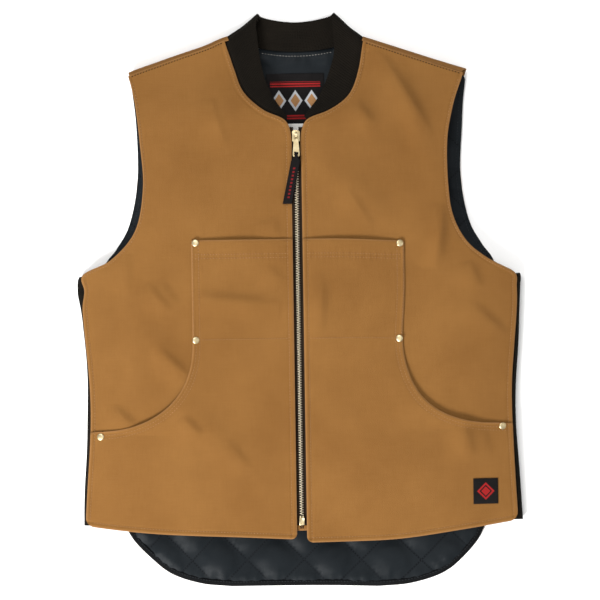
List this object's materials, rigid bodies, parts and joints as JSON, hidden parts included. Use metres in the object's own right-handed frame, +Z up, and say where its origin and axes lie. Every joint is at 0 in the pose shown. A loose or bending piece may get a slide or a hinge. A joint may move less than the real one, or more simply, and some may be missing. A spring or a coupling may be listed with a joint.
{
  "type": "quilted vest",
  "caption": "Sleeveless zip-front canvas work vest with a quilted lining, rib-knit collar and side panels, riveted pocket fronts and a drop tail, lying flat on its back.",
  "frame": {"origin": "on the surface the vest lies on, under the middle of its bounding box", "axes": "+X to the right seen from above (the wearer's left), +Y towards the collar, +Z up, out of the front"},
  "size_m": [0.5808, 0.75, 0.0415],
  "materials": {
    "canvas": "tightly woven duck canvas, matt",
    "quilted_lining": "quilted nylon, slight sheen",
    "rib_knit": "rib knit, matt",
    "black_trim": "woven tape, matt",
    "zip_tape": "woven tape, matt",
    "brass": "polished",
    "white_tape": "woven tape, matt"
  },
  "bodies": {
    "root": {"front_canvas_left": "canvas", "front_canvas_right": "canvas", "pocket_front_left": "canvas", "pocket_front_right": "canvas", "back_canvas": "canvas", "zip_end_facing": "canvas", "front_lining_left": "quilted_lining", "front_lining_right": "quilted_lining", "back_lining": "quilted_lining", "collar": "rib_knit", "side_rib_left": "rib_knit", "side_rib_right": "rib_knit", "tail_binding": "black_trim", "pull_tab": "black_trim", "front_patch": "black_trim", "neck_label": "black_trim", "zip_tape_left": "zip_tape", "zip_tape_right": "zip_tape", "zip_chain": "brass", "zip_box": "brass", "zip_slider": "brass", "zip_pull": "brass", "rivet_chest_top_left": "brass", "rivet_chest_top_right": "brass", "rivet_chest_foot_left": "brass", "rivet_chest_foot_right": "brass", "rivet_pocket_end_left": "brass", "rivet_pocket_end_right": "brass", "size_tag": "white_tape"}
  },
  "joints": []
}
